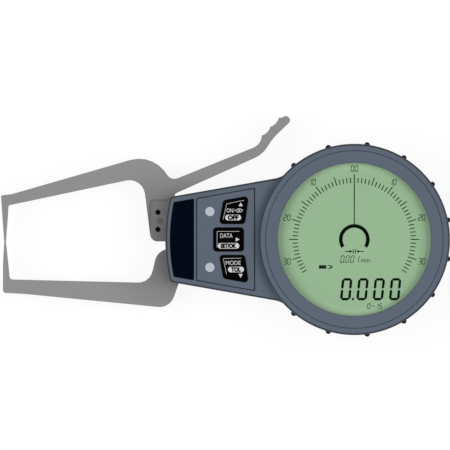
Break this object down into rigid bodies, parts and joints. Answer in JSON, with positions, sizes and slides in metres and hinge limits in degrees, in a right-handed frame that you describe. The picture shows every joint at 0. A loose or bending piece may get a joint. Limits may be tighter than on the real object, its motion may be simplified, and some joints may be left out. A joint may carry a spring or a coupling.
{
  "type": "digital caliper gauge",
  "caption": "Hand-held digital gauge with a round display head, keys on a tapered neck and long flat measuring arms, the upper swung open by a ribbed thumb lever.",
  "frame": {"origin": "where the axis of the round display meets the flat back, on the battery door", "axes": "+X along the gauge from the measuring tips to the display, +Y towards the thumb lever, +Z out of the display; the gauge lies on its back"},
  "size_m": [0.1651, 0.0811, 0.024],
  "materials": {
    "housing": "satin",
    "arm": "satin",
    "frame_metal": "machined",
    "steel": "ground",
    "screw_steel": "plain",
    "black_screw": "blackened",
    "spring_wire": "drawn",
    "seal": "matt",
    "key": "matt",
    "lens": "clear",
    "lcd": "pale green",
    "light_guide": "milky",
    "board": "lacquered",
    "film": "film",
    "elastomer": "matt",
    "sensor": "moulded",
    "encoder_glass": "coated",
    "plate": "gloss",
    "indicator": "diffusing",
    "cell": "wrapped"
  },
  "bodies": {
    "housing": {"rear_shell": "housing", "front_shell": "housing", "bezel_ring": "housing", "key_panel": "housing", "battery_door": "housing", "fixed_arm": "arm", "chassis": "frame_metal", "bearing_bridge": "frame_metal", "bearing_outer_rings": "steel", "bearing_balls": "steel", "stop_pin": "steel", "fixed_arm_dowels": "steel", "housing_screws": "screw_steel", "chassis_screws": "screw_steel", "fixed_arm_screws": "screw_steel", "bridge_screws": "screw_steel", "board_screws": "screw_steel", "key_board_screws": "screw_steel", "door_screws": "screw_steel", "closing_spring": "spring_wire", "battery_contacts": "spring_wire", "power_dome": "spring_wire", "data_dome": "spring_wire", "mode_dome": "spring_wire", "shell_seal": "seal", "lens_seal": "seal", "door_seal": "seal", "grip_studs": "seal", "display_lens": "lens", "lcd_panel": "lcd", "light_guide": "light_guide", "lcd_frame": "light_guide", "main_board": "board", "key_board": "board", "board_link": "film", "lcd_connector": "elastomer", "encoder_head": "sensor", "name_plate": "plate", "indicator_lenses": "indicator", "indicator_leds": "indicator", "batteries": "cell"},
    "measuring_arm": {"moving_arm": "arm", "arm_carrier": "frame_metal", "arm_screws": "black_screw", "arm_dowel": "steel", "pivot_shaft": "steel", "bearing_inner_rings": "steel", "shaft_clip": "steel", "encoder_sector": "encoder_glass", "spring_pin": "steel"},
    "power_key": {"power_key": "key"},
    "data_key": {"data_key": "key"},
    "mode_key": {"mode_key": "key"}
  },
  "joints": [
    {"name": "arm_swing", "type": "hinge", "parent": "housing", "child": "measuring_arm", "pos_m": [-0.0617, 0, 0], "axis": [0, 0, -1], "range_deg": [0, 13], "stiffness_Nm_per_rad": 0.15, "springref_deg": -22.92, "deforming": ["closing_spring"]},
    {"name": "power_key_press", "type": "slide", "parent": "housing", "child": "power_key", "axis": [0, 0, -1], "range_m": [0, 0.00035], "stiffness_N_per_m": 800, "springref_m": -0.001, "deforming": ["power_dome"]},
    {"name": "data_key_press", "type": "slide", "parent": "housing", "child": "data_key", "axis": [0, 0, -1], "range_m": [0, 0.00035], "stiffness_N_per_m": 800, "springref_m": -0.001, "deforming": ["data_dome"]},
    {"name": "mode_key_press", "type": "slide", "parent": "housing", "child": "mode_key", "axis": [0, 0, -1], "range_m": [0, 0.00035], "stiffness_N_per_m": 800, "springref_m": -0.001, "deforming": ["mode_dome"]}
  ]
}
